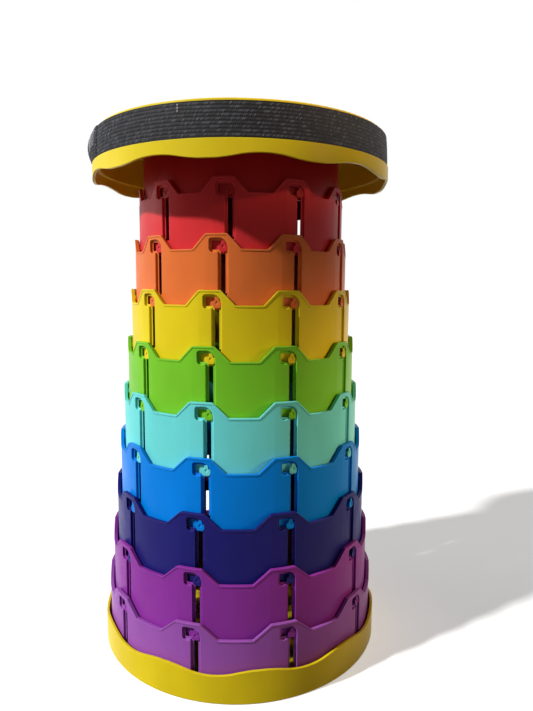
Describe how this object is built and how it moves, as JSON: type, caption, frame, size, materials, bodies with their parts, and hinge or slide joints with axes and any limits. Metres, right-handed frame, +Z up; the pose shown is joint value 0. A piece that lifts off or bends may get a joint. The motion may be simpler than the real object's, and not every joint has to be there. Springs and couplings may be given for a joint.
{
  "type": "telescopic stool",
  "caption": "Round collapsible stool: nested wavy-edged rings with pins in hook-shaped slots slide into each other between a banded seat and a base tray.",
  "frame": {"origin": "centre of the base's underside, where the stool stands on the ground", "axes": "+Z up along the stool's axis; -Y is the side that the picture shows"},
  "size_m": [0.2588, 0.2588, 0.45],
  "materials": {
    "seat_yellow": "satin moulded plastic",
    "band_grey": "ribbed woven elastic",
    "ring_red": "satin moulded plastic",
    "ring_orange": "satin moulded plastic",
    "ring_yellow": "satin moulded plastic",
    "ring_green": "satin moulded plastic",
    "ring_aqua": "satin moulded plastic",
    "ring_blue": "satin moulded plastic",
    "ring_navy": "satin moulded plastic",
    "ring_purple": "satin moulded plastic",
    "ring_lilac": "satin moulded plastic",
    "screw_steel": "zinc-plated",
    "pad_rubber": "matt"
  },
  "bodies": {
    "base": {"base_tray": "seat_yellow", "ring_9_lilac": "ring_lilac", "anti_slip_pads": "pad_rubber"},
    "stage_8": {"ring_8_purple": "ring_purple"},
    "stage_7": {"ring_7_navy": "ring_navy"},
    "stage_6": {"ring_6_blue": "ring_blue"},
    "stage_5": {"ring_5_aqua": "ring_aqua"},
    "stage_4": {"ring_4_green": "ring_green"},
    "stage_3": {"ring_3_yellow": "ring_yellow"},
    "stage_2": {"ring_2_orange": "ring_orange"},
    "stage_1": {"ring_1_red": "ring_red"},
    "seat": {"seat_cover": "seat_yellow", "ring_0_inner": "ring_red", "elastic_band": "band_grey", "seat_screws": "screw_steel"}
  },
  "joints": [
    {"name": "stage_8_slide", "type": "slide", "parent": "base", "child": "stage_8", "axis": [0, 0, -1], "range_m": [0, 0.0428]},
    {"name": "stage_7_slide", "type": "slide", "parent": "stage_8", "child": "stage_7", "axis": [0, 0, -1], "range_m": [0, 0.0428]},
    {"name": "stage_6_slide", "type": "slide", "parent": "stage_7", "child": "stage_6", "axis": [0, 0, -1], "range_m": [0, 0.0428]},
    {"name": "stage_5_slide", "type": "slide", "parent": "stage_6", "child": "stage_5", "axis": [0, 0, -1], "range_m": [0, 0.0428]},
    {"name": "stage_4_slide", "type": "slide", "parent": "stage_5", "child": "stage_4", "axis": [0, 0, -1], "range_m": [0, 0.0428]},
    {"name": "stage_3_slide", "type": "slide", "parent": "stage_4", "child": "stage_3", "axis": [0, 0, -1], "range_m": [0, 0.0428]},
    {"name": "stage_2_slide", "type": "slide", "parent": "stage_3", "child": "stage_2", "axis": [0, 0, -1], "range_m": [0, 0.0428]},
    {"name": "stage_1_slide", "type": "slide", "parent": "stage_2", "child": "stage_1", "axis": [0, 0, -1], "range_m": [0, 0.0428]},
    {"name": "seat_slide", "type": "slide", "parent": "stage_1", "child": "seat", "axis": [0, 0, -1], "range_m": [0, 0.0428]}
  ]
}
